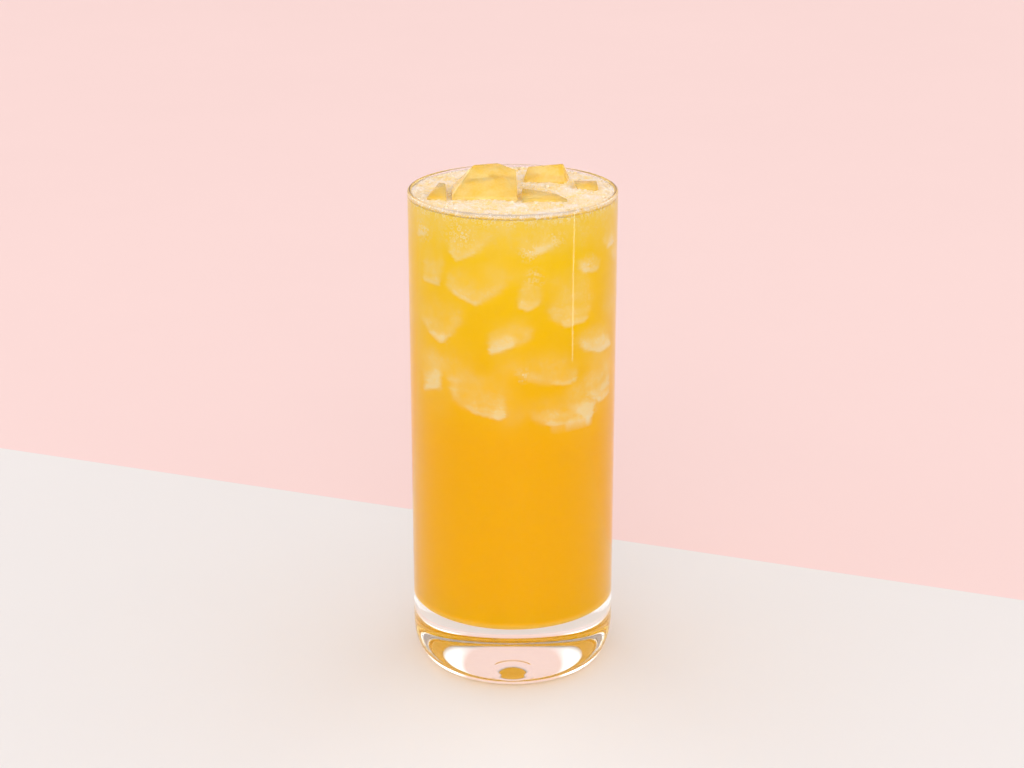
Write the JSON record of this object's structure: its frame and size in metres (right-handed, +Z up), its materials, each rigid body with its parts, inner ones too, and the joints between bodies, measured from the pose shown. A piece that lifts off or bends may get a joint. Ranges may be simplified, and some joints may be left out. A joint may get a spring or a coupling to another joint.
{
  "type": "glass of passion fruit tea",
  "caption": "Straight thick-based glass filled to the brim with golden fruit tea, cracked ice standing out of a thin pale froth.",
  "frame": {"origin": "centre of the glass's foot, on the surface it stands on", "axes": "+Z up along the glass's axis; -Y towards the side seen in the picture, +X to its right"},
  "size_m": [0.0622, 0.0622, 0.1572],
  "materials": {
    "glass": "clear polished glass",
    "tea": "cloudy golden fruit tea, wet and smooth",
    "froth": "fine pale foam with small bubbles",
    "ice": "wet cracked ice, tinted by the tea"
  },
  "bodies": {
    "root": {"tumbler": "glass", "drink": "tea", "froth": "froth", "ice_peak": "ice", "ice_back": "ice", "ice_front": "ice", "ice_left": "ice", "ice_right": "ice"}
  },
  "joints": []
}
